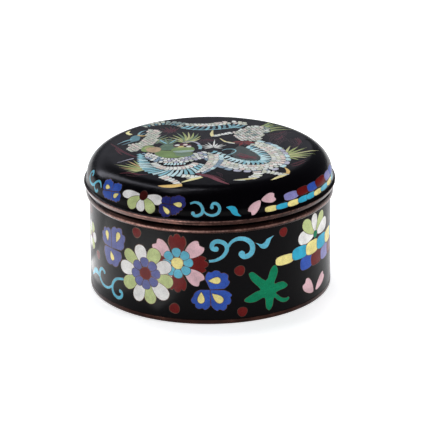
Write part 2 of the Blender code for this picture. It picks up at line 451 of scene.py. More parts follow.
def lid_band():
    """The front half of the lid's flower band, x round the lid, y up from the rim along the surface."""
    d = Drawing()
    # The curling stem at the far left
    wave = (
        (-55.4, 4), (-57, 5.6), (-59.2, 5.9), (-61.4, 4.6), (-63.4, 3), (-66.6, 2.6), (-69.6, 3.8),
        (-70.2, 6), (-68.6, 7.2), (-67, 6.6),
    )
    curl = ((-61.8, 4.0), (-62.0, 2.4), (-60.4, 1.3), (-58.6, 1.6))
    scroll(
        d, ((wave, (0.9, 1.7, 1.2)), (curl, (0.8, 1.4, 1.2))), ((-67, 6.2, 0.85), (-58.6, 2.1, 0.8)),
        "turquoise",
    )
    pansy(
        d, (-47.6, 4.9),
        (
            (190, 280, (6.8, 6.6, 4.8, 4, 3.8)), (280, 370, (3.8, 4.4, 6, 6.8, 5.4)),
            (100, 190, (3.2, 4.8, 7, 7.6, 6.2)), (10, 100, (5, 6.4, 5.4, 4, 3.2)),
        ),
        ((-48.8, 5.9, 184, 3.8, 2.3), (-42.6, 5.2, 214, 4, 2.2)), "royal_blue",
    )
    fan = (
        (187, 1.2, 11.2, 3.6, "white", 0), (353, 1.2, 9.6, 4.2, "white", 0),
        (219, 1.2, 9.2, 4.8, "pale_green", 0), (313, 1.2, 8.4, 4.9, "pale_green", 0),
        (262, 1.2, 6.8, 4.3, "white", 0),
    )
    flower(d, (-29.8, 7.1), fan, 0, "", 2.1, "liver_brown")
    pansy(
        d, (-17, 5.2),
        (
            (180, 280, (4.2, 5.6, 6.2, 5.8, 4.4)), (90, 180, (3, 3.4, 4.4, 4.6, 3.6)),
            (280, 350, (4.4, 5, 5.2, 6.2)), (350, 450, (6.6, 7.4, 6.4, 4, 3)),
        ),
        ((-16, 5.6, 356, 4.4, 2.4), (-20.2, 4.4, 316, 4.4, 2.4)), "dark_blue",
    )
    left_curl = ((-8.4, 6.0), (-6.4, 6.7), (-4.2, 6.0), (-3.0, 4.0), (-3.6, 2.1), (-5.6, 1.3), (-7.0, 1.7))
    right_curl = ((-2.6, 3.2), (-1, 1.9), (1.2, 1.5), (3.3, 2.4), (4, 4.4), (3, 6), (1.4, 6.2), (0.5, 5.2))
    scroll(
        d, ((left_curl, (0.9, 1.9, 1.3)), (right_curl, (0.8, 2, 1.2))), ((-7, 2.2, 0.95), (0.8, 4.8, 0.9)),
        "turquoise",
    )
    blade = (
        (6.6, 4.6), (8.6, 5.1), (10.4, 4.7), (11.4, 3.4), (11.7, 2), (13, 0.5), (10.6, 0.8), (9, 1.8),
        (8.1, 3.3),
    )
    d.cell(blob(blade, 4), "cyan", 0.14)
    d.cell(petal((21.9, 5.9), 221, 0, 7.6, 4.2, 0.35, 1.1), "pink")
    d.cell(petal((22.1, 5.8), 4, 0, 7.6, 4.0, 0.35, 1.1), "pink")
    high = (
        (37.2, 4.9, 8.4, 3.5, "lilac"), (44.4, 5.2, 8, 3.5, "dark_red"), (51.2, 5, 8, 3.6, "royal_blue"),
        (58.8, 5.1, 10.4, 3.7, "dark_red"), (67.2, 4.8, 8.6, 3.5, "lilac"),
        (74.4, 4.8, 8.4, 3.5, "royal_blue"),
    )
    cloud_row(d, high)
    low = (
        (26.4, 1.8, 6.4, 2.7, "yellow"), (32, 1.8, 7, 2.6, "cyan"), (38, 1.8, 7.2, 2.8, "yellow"),
        (43.8, 1.9, 7, 2.8, "cyan"), (49, 1.9, 6.6, 2.8, "cyan"), (54.6, 1.8, 7, 2.6, "yellow"),
        (61.2, 1.8, 8.4, 2.6, "turquoise"), (68.4, 1.8, 8, 2.6, "yellow"),
        (75.2, 1.8, 7.6, 2.6, "turquoise"),
    )
    cloud_row(d, low)
    return d


# The dragon on the lid's top


def blob(points, steps=4):
    """A closed smooth outline through given points."""
    count = len(points)
    line = []
    for i in range(count):
        a, b, c, d = (points[(i + k) % count] for k in (-1, 0, 1, 2))
        for j in range(steps):
            line.append(curve_point(a, b, c, d, j / steps))
    return line


def between(values, t):
    """The value a fraction t of the way through a list of evenly spaced ones."""
    place = min(max(t, 0.0), 1.0) * (len(values) - 1)
    low = min(int(place), len(values) - 2)
    return values[low] + (values[low + 1] - values[low]) * (place - low)


def walked(points, pitch):
    """Places evenly spaced along a curve, about pitch apart: (point, heading, fraction of the way)."""
    line = smooth_line(points, 12)
    ways = [0.0]
    for a, b in zip(line, line[1:]):
        ways.append(ways[-1] + math.dist(a, b))
    count = max(2, round(ways[-1] / pitch))
    places = []
    k = 0
    for i in range(count):
        way = ways[-1] * (i + 0.5) / count
        while ways[k + 1] < way:
            k += 1
        t = (way - ways[k]) / (ways[k + 1] - ways[k])
        (x0, y0), (x1, y1) = line[k], line[k + 1]
        heading = math.degrees(math.atan2(y1 - y0, x1 - x0))
        places.append(((x0 + (x1 - x0) * t, y0 + (y1 - y0) * t), heading, (i + 0.5) / count))
    return places


def plain_band(drawing, spine, widths, low, high, finish):
    """A plain band along a spine, from low to high across the body, -1 its right side, 1 its left."""
    line = smooth_line(spine, 6)
    halves = [between(widths, i / (len(line) - 1)) / 2 for i in range(len(line))]
    drawing.cells.append((ribbon(line, halves, low, high), finish))


def plates(drawing, spine, widths, low, high, finishes, pitch=1.9, lean=0.0, fill=(0.5, 0.7, 0.6)):
    """Belly plates across the body, each a bowed bar whose left end leans forwards, black between them.

    fill is how much of the pitch a plate takes up at its right end, its middle and its left end.
    """
    plain_band(drawing, spine, widths, low, high, "black")
    # A plate bows: its middle lies a quarter of the pitch ahead of the line between its ends
    for point, heading, t in walked(spine, pitch):
        half = between(widths, t) / 2
        start = polar(polar(point, heading + 90, half * low), heading, -lean)
        middle = polar(polar(point, heading + 90, half * (low + high) / 2), heading, 0.25 * pitch)
        end = polar(polar(point, heading + 90, half * high), heading, lean)
        bar = stroke((start, middle, end), *(part * pitch for part in fill), 3)
        drawing.cells.append((bar, RANDOM.choice(finishes)))


# A scale's outline: (along, across) as parts of its length and width
SCALE_FORM = ((-0.5, -0.44), (0, -0.5), (0.34, -0.36), (0.5, 0), (0.34, 0.36), (0, 0.5), (-0.5, 0.44))


def scale(drawing, centre, heading, length, width, finish, gap):
    """One scale edged in black, square towards the head and round towards the tail."""
    outline = set_out(centre, heading, [(along * length, across * width) for along, across in SCALE_FORM])
    drawing.cells.append((outline, "black"))
    drawing.cells.append((shrunk(outline, gap), finish))


def scales(drawing, spine, widths, low, high, rows, finishes, pitch=1.9, gap=0.17):
    """Rows of scales along the body, laid from tail to head so that each covers the next one's root."""
    plain_band(drawing, spine, widths, low, high, "black")
    places = walked(spine, pitch)
    for point, heading, t in reversed(places):
        half = between(widths, t) / 2
        step = half * (high - low) / rows
        # Every other row is half a pitch behind, and each scale reaches over its neighbours
        for offset in (0.25, -0.25):
            for row in range(0 if offset > 0 else 1, rows, 2):
                across = half * low + step * (row + 0.5)
                centre = polar(polar(point, heading + 90, across), heading, pitch * offset)
                length = pitch * RANDOM.uniform(1.15, 1.4)
                scale(drawing, centre, heading, length, step * 1.45, RANDOM.choice(finishes), gap)


def scaled_patch(drawing, outline, heading, pitch, finishes, gap=0.2):
    """A patch filled with overlapping scales."""
    shape = blob(outline)
    drawing.cells.append((shape, "black"))
    xs, ys = zip(*shape)
    middle = ((min(xs) + max(xs)) / 2, (min(ys) + max(ys)) / 2)
    reach = int(max(max(xs) - min(xs), max(ys) - min(ys)) / pitch) + 1
    places = []
    # Rows half a pitch apart, not quite even, from the far end back, so that they overlap
    for i in range(2 * reach, -2 * reach - 1, -1):
        for j in range(-2 * reach + i % 2, 2 * reach + 1, 2):
            along = pitch * (i / 2 + RANDOM.uniform(-0.06, 0.06))
            places.append(polar(polar(middle, heading, along), heading + 90, pitch * 0.6 * j))
    for k in within(np.array(places), shrunk(shape, pitch * 0.3)):
        scale(drawing, places[k], heading, pitch * 1.3, pitch * 1.3, RANDOM.choice(finishes), gap)


def tuft(drawing, root, blades, width, finishes):
    """Long thin blades from one root. A blade is (heading, length)."""
    for i, (heading, length) in enumerate(blades):
        blade = petal(root, heading, 0, length, width, -0.25, 0.0, 0.1 * length, 16)
        drawing.cell(blade, finishes[i % len(finishes)], 0.1)


def fringe(start, root, blades, lean, reach):
    """Strands for hair from start to the ends of blades (heading, length) round root.

    Each bends by lean at reach of its way out.
    """
    strands = []
    for heading, length in blades:
        bend = polar(root, heading + lean, length * reach)
        strands.append((start, bend, polar(root, heading, length)))
    return strands


def hair(drawing, strands, finishes, width=1.5):
    """Long tapering strands, each drawn through its points."""
    for i, points in enumerate(strands):
        mark(drawing, finishes[i % len(finishes)], 0.1, (width, width * 1.1, 0.15), *points)


def patch(drawing, finish, wire, *points):
    """One smooth cell through given points."""
    drawing.cell(blob(points), finish, wire)


def mark(drawing, finish, wire, widths, *points):
    """One cell along given points, with its widths at the start, in the middle and at the end."""
    drawing.cell(stroke(points, *widths), finish, wire)


def legs(drawing):
    """Five scaled legs, and then the claws."""
    for points, widths in (
        (((-19.2, -30.6), (-16.6, -33.8), (-14.2, -36.2), (-12.2, -40.2)), (3, 2.8, 2.4, 2.2)),
        (((-11.4, -31), (-8.4, -31.6), (-5, -32.6)), (2.6, 2.4, 2)),
        (((18.8, -26.2), (19.4, -29.6), (17.8, -32.6), (16.2, -34)), (3.2, 3, 2.8)),
        (((20.6, -26.8), (24.4, -27.6), (27.6, -29.2), (30.2, -29.2)), (2.6, 2.4, 2)),
        (((9.4, 19.2), (5.8, 17), (2.2, 15.2)), (2.2, 1.8, 1.4)),
    ):
        finishes = ("scale_white", "scale_white", "cream", "pale_salmon")
        scales(drawing, points, widths, -1, 1, 1, finishes, 1.7, 0.2)
    for points, width, finish in (
        (((-10.8, -40.4), (-15.8, -40.5), (-20.6, -39.2)), 3.2, "ochre"),
        (((-3, -32.6), (-7.2, -35.2), (-11.4, -38.2)), 3.2, "claw_yellow"),
        (((-3.4, -31.8), (-6.6, -33.2), (-9.4, -34.2)), 1.8, "scale_white"),
        (((18.6, -33.8), (14, -35.2), (9.6, -36)), 2.2, "claw_yellow"),
        (((14.2, -36), (11.8, -36.2), (9.2, -36.4)), 1.3, "scale_white"),
        (((30.6, -28.4), (28.2, -31.2), (24.2, -35.4)), 2.8, "claw_yellow"),
        (((30.9, -28.6), (31.2, -25.4), (29.8, -21.8)), 2.4, "ochre"),
        (((26.6, -29.4), (29.2, -29.6), (31.8, -28.8)), 1.5, "scale_white"),
        (((1.6, 13.8), (1, 17.6), (1.6, 23)), 2.3, "claw_yellow"),
        (((1.2, 14.6), (3, 14.4), (5, 15.6)), 1.4, "scale_white"),
        (((10.2, 5.4), (6.6, 7.4), (4.2, 12)), 2, "claw_yellow"),
        (((10.4, 5.2), (8.4, 5.8), (6.6, 7)), 1.2, "scale_white"),
        (((-32, 19.2), (-33.6, 22), (-32.4, 25)), 2.6, "claw_yellow"),
        (((-29.4, 18.8), (-27.6, 17.2), (-25.4, 17.4)), 1.8, "ochre"),
    ):
        mark(drawing, finish, 0.12, (width * 0.6, width, 0.2), *points)


def head(drawing):
    """The dragon's head in profile, its muzzle to the left: mane, horn, skull, jaw, muzzle and eye."""
    d = drawing
    mane = (
        (152, 9.6), (132, 10.6), (118, 11.6), (106, 13.4), (96, 14.4), (86, 14), (76, 13.6), (66, 13),
        (54, 10.6), (40, 8),
    )
    nape = (-9.6, 6.6)
    finishes = ("pale_leaf_green", "straw", "pale_leaf_green", "moss_green")
    hair(d, fringe(nape, nape, mane, -6, 0.55), finishes, 1.3)
    strands = []
    crown = (-16.0, 5.0)
    for heading, length in ((150, 7.0), (130, 8.4), (110, 9.0), (92, 8.4), (72, 7.4), (56, 6.4)):
        bend = polar(crown, heading, length * 0.5)
        strands.append((polar(crown, heading + 180, 2.0), bend, polar(crown, heading - 8, length)))
    hair(d, strands, ("teal", "sea", "moss_green"), 1.3)
    # Skull and cheek
    patch(
        d, "teal", 0.12, (-20.6, 0.6), (-19.4, 4.2), (-17.6, 5.9), (-14.8, 5.2), (-13.8, 2.4),
        (-14.2, -1.4), (-17, -2.2), (-20, -1.4),
    )
    mark(d, "moss_green", 0.1, (0.3, 1.0, 0.4), (-19.6, 1.4), (-17.4, 3.8), (-14.6, 3.6))
    patch(
        d, "leaf_green", 0.12, (-15.4, -2.8), (-14, 1), (-10.6, 1.8), (-7.4, 1.6), (-6, -0.6), (-6.4, -3.2),
        (-11, -3.6),
    )
    # Eye, brow and nose ridge
    patch(
        d, "maroon", 0.12, (-14.8, 2.6), (-13.6, 5), (-10.6, 6), (-8.2, 5), (-7, 2.6), (-9.6, 1.4),
        (-12.6, 1.4),
    )
    patch(d, "scale_white", 0.08, (-14.2, 3.2), (-13.4, 4.6), (-12.0, 4.4), (-12.4, 2.8))
    patch(d, "yellow", 0.08, (-12.8, 1.2), (-12.0, 2.6), (-10.4, 2.6), (-10.6, 1.2))
    patch(d, "pale_salmon", 0.08, (-10.8, 3.6), (-10.0, 5.2), (-8.8, 4.8), (-9.2, 3.2))
    patch(d, "scale_white", 0.08, (-9.4, 1.4), (-8.8, 2.8), (-7.4, 2.6), (-7.6, 1.0))
    mark(d, "straw", 0.06, (0.3, 0.9, 0.3), (-13.6, 0.4), (-10.4, 0.4), (-7.2, 0.2))
    # Jaw, in three greens, and the lip
    patch(
        d, "leaf_green", 0.14, (-22.2, -5), (-21.4, -1.6), (-18, -2.4), (-13.4, -3), (-7, -5), (-7.2, -8.6),
        (-10.6, -10.6), (-16.4, -11.2), (-20.4, -9),
    )
    for y in (-4.0, -5.8, -7.6):
        mark(d, "mid_leaf_green", 0.06, (0.2, 1.1, 0.2), (-20.8, y + 0.4), (-17.6, y), (-14.0, y - 0.6))
    patch(
        d, "moss_green", 0.1, (-13.8, -5.6), (-10.4, -5.4), (-7.4, -5.8), (-7.8, -8.4), (-10.6, -9.6),
        (-13.2, -8.8),
    )
    patch(
        d, "pale_sage", 0.1, (-14.6, -3.4), (-10.2, -2.6), (-6.4, -2.4), (-6.8, -4.4), (-11, -5.4),
        (-13.8, -5),
    )
    # Muzzle
    patch(
        d, "mid_leaf_green", 0.12, (-27.4, -2), (-27.2, 2.4), (-25.2, 4.6), (-22.4, 3.4), (-22, 0),
        (-24, -3.2),
    )
    patch(d, "pale_leaf_green", 0.1, (-26.4, 0.6), (-26.0, 3.4), (-24.2, 3.8), (-23.6, 1.4), (-25.0, -0.4))
    patch(
        d, "salmon", 0.12, (-25.8, 0.2), (-24.4, 2.2), (-21.6, 2.4), (-19.4, 0.4), (-20.2, -3.2),
        (-22.6, -4.4), (-25, -2.8),
    )
    mark(d, "ochre", 0.06, (0.2, 0.6, 0.2), (-25.0, -0.6), (-23.6, 0.6), (-21.6, 0.4))
    # Horn, whiskers and the lilac feeler
    mark(
        d, "pale_lilac", 0.12, (0.6, 1.5, 1.2), (-10.8, 6.6), (-8.2, 8), (-5.4, 6.8), (-4, 3.6),
        (-3.6, -0.6),
    )
    mark(d, "sea", 0.12, (1.6, 1.9, 1.4), (-4.4, 3.6), (-3.6, 1.4), (-3.8, -1.6))
    mark(
        d, "sea", 0.12, (0.5, 1, 0.5), (5, -3.4), (7, -1.8), (9.8, -2), (10.7, -4.2), (9.2, -7),
        (6.6, -9.4),
    )
    mark(d, "pale_lilac", 0.12, (0.8, 1.0, 0.3), (-30.4, -10.2), (-33.4, -11.8), (-37.2, -14.4))


def streaks(drawing):
    """Dark red cloud between the coils: wide strokes with thinner ones off them, then broad patches."""
    patch(
        drawing, "dark_slate", 0.05, (8.6, -7.6), (10.4, -0.6), (13.5, 1.5), (20.2, -8.4), (20.8, -12.3),
        (16.6, -16.4), (11.6, -13.8),
    )
    for points, width, finish in (
        (((-40.2, 9.2), (-37.4, 3.6), (-35.2, -1.2), (-32, -6), (-28.6, -9.6)), 2.6, "maroon"),
        (((-38.2, 2.6), (-36.6, -2), (-35.2, -5.6)), 1.6, "maroon"),
        (((-35.8, -25), (-31.4, -26.2), (-28.2, -28.2), (-24.2, -28.8)), 2.4, "maroon"),
        (((-33.4, -27.2), (-30, -29.4), (-27.2, -30)), 1.4, "dusk_red"),
        (((-6.2, -28.2), (-3.4, -30.2), (0.6, -32.8), (4, -37), (7.8, -40.6)), 4.6, "rose_brown"),
        (((-1.6, -29.6), (2.4, -32.2), (6.2, -36.6)), 1.6, "maroon"),
        (((2.6, -27.6), (4.6, -30.8), (4.2, -34)), 2, "dusk_red"),
        (((32.5, -18.7), (35, -16.6), (38.8, -12.4)), 2, "maroon"),
        (((32.6, -20.4), (35.2, -19), (38.6, -14.4)), 1.6, "maroon"),
        (((-19.6, 17.6), (-17, 18.4), (-14.4, 22.4)), 2, "dusk_red"),
        (((12.8, 33.6), (14.2, 29.8), (13, 25.2)), 2.4, "dusk_red"),
        (((34, 28.6), (37, 31.4), (39, 35.2)), 1.6, "dusk_red"),
    ):
        mark(drawing, finish, 0.08, (0.3, width, 0.2), *points)
    for middle, headings, length, width, finish in (
        ((27.6, 12), (70, 84, 98, 112, 56), 15, 2.6, "dusk_red"),
        ((28.8, 17.6), (28, 44, 60, 12), 11, 2.4, "dusk_red"),
        ((35, 7.4), (64, 80, 96, 112), 13, 2.2, "dusk_red"), ((36.4, 8.8), (78, 92), 10, 1.6, "maroon"),
        ((15, -10.6), (-24, -38, -10, -52), 11, 1.7, "rose_brown"),
        ((-16, 23.8), (20, 48, 76, 104, 132), 9.6, 1.9, "maroon"),
        ((-1, 9.4), (4, 24, -16, 44), 10.4, 2.4, "dusk_red"),
        ((12.4, 12.8), (78, 96, 112), 7.4, 1.8, "dusk_red"),
    ):
        for i, heading in enumerate(headings):
            start = polar(middle, heading + 180, length * RANDOM.uniform(0.35, 0.55))
            end = polar(middle, heading + 16, length * RANDOM.uniform(0.35, 0.55))
            bend = polar(middle, heading + 90, (i - len(headings) / 2) * width * 0.55)
            mark(drawing, finish, 0.08, (0.3, width, 0.2), start, bend, end)
    for points in (
        ((24.6, 17.4), (28.4, 18.4), (31.4, 22.6)), ((26.6, 9.6), (29.2, 12.8), (29.8, 16.4)),
        ((10.6, -9.6), (14, -11.4), (17.6, -12.8)), ((-3.6, 9.4), (-0.4, 9.8), (2.2, 8.4)),
    ):
        mark(drawing, "maroon", 0.06, (0.3, 1.3, 0.2), *points)


# Blades of the fans at the left of the left loop and the right of the right one: (heading, length)
LEFT_FAN = (
    (203, 5.8), (104, 9.4), (114, 11.8), (124, 12.6), (136, 10.4), (186, 7), (172, 8.4), (161, 10.4),
    (149, 13.4),
)
RIGHT_FAN = (
    (-34, 7), (90, 9), (76, 11.8), (62, 12.6), (48, 13.4), (-8, 9), (6, 10.6), (18, 12.6), (32, 16.2),
)


def dragon():
    """The coiled dragon on the lid's top, its head at the left. x is to the right, y to the back."""
    d = Drawing()
    pale = ("scale_white", "cream", "scale_white", "bone", "pale_salmon")
    dim = ("bone", "cream", "bone", "pale_salmon", "grey_sage", "scale_white")
    streaks(d)
    # Hair and fins behind the body
    tail = []
    for i in range(9):
        reach = (1.0, 0.8, 0.96, 0.7)[i % 4]
        root = (20.4 + 0.4 * i, 26.8 - 0.95 * i)
        bend = (root[0] + 3.8 * reach, root[1] + (5.0 - 0.1 * i) * reach)
        tip = (root[0] + (6.0 + 0.8 * i) * reach, root[1] + (12.0 - 0.75 * i) * reach)
        tail.append((root, bend, tip))
    hair(d, tail, ("pale_leaf_green", "moss_green", "pale_leaf_green"), 1.1)
    tuft(d, (-25.6, -23.4), LEFT_FAN, 1.15, ("pale_leaf_green", "straw", "pale_leaf_green", "dull_ochre"))
    tuft(d, (29.8, -9.0), RIGHT_FAN, 1.35, ("pale_leaf_green", "pale_leaf_green", "straw"))
    beard = ((100, 6.4), (86, 9.6), (74, 13.0), (62, 12.6), (50, 11.4), (36, 9.4), (20, 7.6))
    strands = fringe((-23.6, 6.4), (-23.0, 6.4), beard, 8, 0.5)
    hair(d, strands, ("moss_green", "pale_leaf_green", "grey_sage"), 1.3)
    # The far claw's pad and its feathers
    patch(d, "steel_blue", 0.12, (-32.4, 14.6), (-30.8, 18.0), (-28.4, 17.2), (-28.6, 11.8), (-31.8, 10.2))
    feathers = (
        ((-31.4, 13.4), (-34.4, 11.2), (-37.8, 7.4)), ((-30, 11.6), (-33.2, 8.7), (-35.8, 6.4)),
        ((-29, 19), (-28, 22.6), (-25.6, 24.6)), ((-28.8, 16.4), (-27.4, 19.6), (-25.8, 20.8)),
    )
    hair(d, feathers, ("sea", "steel_blue"), 1.1)
    # The far strand, from behind the arm to the haunch
    far = ((-27.6, 29.6), (-22.4, 33.2), (-16.8, 33.8), (-12.2, 31.4), (-9.6, 29.0))
    far_widths = (3.6, 4.6, 5.0, 5.6)
    plates(d, far, far_widths, -1, 0.2, ("grey_sage", "steel_blue", "bone"), 1.7)
    scales(d, far, far_widths, 0.1, 1, 1, ("bone", "grey_sage"), 2.0, 0.25)
    top = ((-10.4, 29.2), (-5.6, 27.5), (0.2, 27.2), (5.4, 28.8), (9.8, 30.4), (14.6, 28.8))
    top_widths = (6.4, 8.4, 8.8, 9.6, 10.0, 8.0)
    plates(d, top, top_widths, -1, 0.3, ("sea", "steel_blue", "sea"), 2.1, 0.9, (0.6, 0.55, 0.4))
    plain_band(d, top, top_widths, -1.0, -0.86, "sea")
    scales(d, top, top_widths, 0.2, 1, 2, pale, 1.9, 0.2)
    # The haunch and the near arm
    haunch = (
        (9.7, 19.8), (9.9, 15.6), (11.2, 11.4), (12.3, 7.8), (15.2, 9), (18.1, 7.6), (21.4, 10.8),
        (22.5, 17.1), (25.4, 21.9), (23.2, 27.4), (19.6, 28.8), (16, 27.4), (12.8, 23.2),
    )
    scaled_patch(d, haunch, 245, 1.9, dim, 0.24)
    fringes = ((196, 5.8), (222, 5.8), (246, 6), (268, 5.4), (292, 5), (312, 5), (330, 4.6))
    tuft(d, (14.6, 8.0), fringes, 1.8, ("brick", "maroon"))
    arm = (
        (-25.4, 24), (-22.6, 25.4), (-20, 22.6), (-20.4, 15.9), (-21.4, 8.2), (-24.7, 3.8), (-27.2, 1.2),
        (-29.8, -2.6), (-32.2, -2.8), (-33.4, 2.5), (-32.3, 7.3), (-28.7, 9.5), (-26.6, 14.6),
    )
    scaled_patch(d, arm, 250, 1.9, ("cream", "bone", "bone", "pale_salmon"), 0.2)
    # The right loop: a fin outside, scales, and plates inside
    loop = (
        (-1.6, -6), (2.6, -11.4), (6.6, -17.2), (12.2, -21), (18.6, -21.6), (24, -19.5), (26.5, -14.4),
        (26.1, -8.6), (24, -3), (20.6, 2.2), (17.6, 4.8),
    )
    loop_widths = (9.0, 10.0, 11.2, 12.8, 12.4, 12.2, 12.0, 11.8, 12.4, 12.6, 10.4)
    fin = ("grey_blue", "grey_blue", "pale_lilac", "pale_sea")
    scales(d, loop, loop_widths, -0.96, -0.62, 1, fin, 2.8, 0.14)
    plates(d, loop, loop_widths, 0.22, 1, ("pale_sea", "pale_sea", "sea"), 2.4, -0.3, (0.22, 0.5, 0.8))
    scales(d, loop, loop_widths, -0.64, 0.26, 3, pale, 1.9, 0.15)
    # The left loop: scales inside, plates outside, and the crossing
    inner = (
        (-26.6, -4.8), (-23.2, -9.4), (-19.8, -13), (-15.8, -14.4), (-11.6, -14.2), (-8.2, -12.4),
        (-4.8, -9.6), (-0.6, -7.6),
    )
    inner_widths = (4.0, 5.0, 5.4, 5.2, 5.2, 6.4, 7.0, 7.0)
    mixed = ("scale_white", "pale_lilac", "pale_salmon", "scale_white", "grey_blue", "bone")
    scales(d, inner, inner_widths, -1, 1, 3, mixed, 1.8, 0.26)
    d.cells.append((petal((-18.6, -20.2), 1, 0, 12.0, 3.4, 0.0), "black"))
    ridge = ((-18.4, -17.6), (-14.0, -18.4), (-9.6, -17.8))
    plates(d, ridge, (1.8, 2.2, 1.8), -1, 1, ("pale_sea",), 1.3, 0.2)
    d.cell(petal((-14.4, -20.4), 2, 0, 7.2, 1.2, 0.0), "maroon", 0.05)
    outside = (
        (-27.4, -5.6), (-26.9, -11.4), (-25.6, -17), (-22.9, -22.8), (-18.6, -27), (-14.4, -27.8),
        (-10.4, -27.4), (-7.2, -25.2), (-4.8, -22), (-3.4, -18.6),
    )
    outside_widths = (2.4, 3.0, 4.4, 6.0, 7.2, 7.0, 7.2, 7.6, 8.0, 7.0)
    plates(d, outside, outside_widths, -1, 1, ("pale_sea", "pale_sea", "sea"), 2.0, 1.3, (0.9, 0.66, 0.3))
    row = (
        (-22.6, -15.6), (-21, -19.4), (-18.2, -22.2), (-14.6, -23), (-10.8, -22.6), (-7.4, -20.6),
        (-5.4, -17.8),
    )
    row_widths = (2.2, 2.6, 2.8, 2.8, 2.6, 2.4)
    scales(d, row, row_widths, -1, 1, 1, ("scale_white", "pale_salmon", "scale_white"), 1.7, 0.18)
    crossing = ((2.6, -8.6), (2.6, -14.0), (1.4, -19.0), (-0.8, -23.6), (-3.6, -27.8))
    crossing_widths = (5.6, 5.8, 5.6, 4.8, 3.2)
    scales(d, crossing, crossing_widths, -1, 0.45, 2, pale, 1.8, 0.18)
    scales(d, crossing, crossing_widths, 0.45, 1, 1, ("grey_blue", "pale_sea"), 2.6, 0.12)
    legs(d)
    head(d)
    crest = (
        (174, 4.6), (152, 5.6), (130, 5.4), (110, 6.6), (86, 9.4), (68, 5), (44, 5.6), (26, 6), (4, 3.6),
        (-24, 4), (204, 4.2),
    )
    tuft(d, (1.6, 0.4), crest, 0.85, ("scale_white",))
    # Two old chips at the right
    for x, y, reach in ((41.2, 27.0, 1.5), (40.6, 11.6, 1.4)):
        corners = [polar((x, y), 60 * i, reach * (0.7 + 0.5 * (i % 2))) for i in range(6)]
        d.cells.append((blob(corners, 3), "chipped"))
    return d


# Cutting the picture into a surface


def cut(ground, lines, drawing):
    """Flat triangles with an edge along every outline, and the finish of each triangle.

    ground are points that the surface needs for its curve, and lines join them by number.
    """
    points = [Vector(p) for p in ground]
    edges = list(lines)
    for outline, _ in drawing.cells:
        first, count = len(points), len(outline)
        points += [Vector(p) for p in outline]
        edges += [(first + i, first + (i + 1) % count) for i in range(count)]
    corners, _, triangles, _, _, _ = geometry.delaunay_2d_cdt(points, edges, [], 0, 1e-4)
    flat = np.array([tuple(c) for c in corners])
    middles = flat[np.array(triangles)].mean(axis=1)
    finishes = np.array(["black"] * len(triangles), dtype=object)
    for outline, finish in drawing.cells:
        finishes[within(middles, outline)] = finish
    return corners, triangles, list(finishes)


def within(places, outline):
    """Which places lie inside an outline that runs anticlockwise.

    A turned-over stretch of it counts as outside.
    """
    shape = np.array(outline if area_of(outline) > 0 else outline[::-1])
    low, high = shape.min(axis=0), shape.max(axis=0)
    near = np.flatnonzero(((places > low) & (places < high)).all(axis=1))
    x, y = places[near, 0], places[near, 1]
    turns = np.zeros(len(near), dtype=int)
    for a, b in zip(shape, np.roll(shape, -1, axis=0)):
        left = (b[0] - a[0]) * (y - a[1]) - (x - a[0]) * (b[1] - a[1])
        turns += (a[1] <= y) & (b[1] > y) & (left > 0)
        turns -= (a[1] > y) & (b[1] <= y) & (left < 0)
    return near[turns > 0]


def on_wall(point):
    """Place and outward direction on the wall for a flat point."""
    turn = point[0] / BODY_RADIUS
    out = Vector((math.sin(turn), -math.cos(turn), 0.0))
    return out * BODY_RADIUS + Vector((0.0, 0.0, point[1])), out


def lid_profile():
    """The lid's outer line from the top's middle to the rim.

    A row is (way along the line, radius, height, slope outwards, slope up).
    """
    reach = LID_WALL_RADIUS - SHOULDER_RADIUS
    crown = (reach**2 + CROWN_RISE**2) / (2 * CROWN_RISE)
    crown_z = LID_TOP - crown
    shoulder_z = crown_z + math.sqrt((crown - SHOULDER_RADIUS) ** 2 - reach**2)
    join = math.atan2(shoulder_z - crown_z, reach)
    rows = []
    for i in range(CROWN_STEPS + 1):
        turn = math.pi / 2 + (join - math.pi / 2) * i / CROWN_STEPS
        out, up = math.cos(turn), math.sin(turn)
        rows.append((crown * (math.pi / 2 - turn), crown * out, crown_z + crown * up, out, up))
    low = math.radians(FLARE_FROM)
    start = rows[-1][0]
    for i in range(1, SHOULDER_STEPS + 1):
        turn = join + (low - join) * i / SHOULDER_STEPS
        out, up = math.cos(turn), math.sin(turn)
        way = start + SHOULDER_RADIUS * (join - turn)
        rows.append((way, reach + SHOULDER_RADIUS * out, shoulder_z + SHOULDER_RADIUS * up, out, up))
    foot_x, foot_z = LID_RIM_RADIUS - FLARE_INSET, LID_RIM_TOP + FLARE_LIFT
    x0, z0 = rows[-1][1:3]
    way = rows[-1][0]
    for i in range(1, FLARE_STEPS + 1):
        t = i / FLARE_STEPS
        x = (1 - t) ** 2 * x0 + 2 * t * (1 - t) * x0 + t * t * foot_x
        z = (1 - t) ** 2 * z0 + 2 * t * (1 - t) * (foot_z + FLARE_LIP) + t * t * foot_z
        dx = 2 * t * (foot_x - x0)
        dz = 2 * (1 - t) * (foot_z + FLARE_LIP - z0) + 2 * t * -FLARE_LIP
        length = math.hypot(dx, dz)
        way += math.hypot(x - rows[-1][1], z - rows[-1][2])
        rows.append((way, x, z, -dz / length, dx / length))
    return rows


LID_LINE = lid_profile()
LID_WAYS = [row[0] for row in LID_LINE]
LID_REACH = LID_WAYS[-1]


def on_lid(point):
    """Place and outward direction on the lid for a flat point.

    Its distance from the middle is its way along the lid's outer line.
    """
    way = math.hypot(point[0], point[1])
    low = min(max(bisect.bisect_right(LID_WAYS, way) - 1, 0), len(LID_LINE) - 2)
    a, b = LID_LINE[low], LID_LINE[low + 1]
    t = min(1.0, (way - a[0]) / (b[0] - a[0]))
    radius, z, out, up = (p + (q - p) * t for p, q in zip(a[1:], b[1:]))
    if way < 1e-9:
        return Vector((0.0, 0.0, z)), Vector((0.0, 0.0, 1.0))
    x, y = point[0] / way, point[1] / way
    return Vector((radius * x, radius * y, z)), Vector((out * x, out * y, up)).normalized()


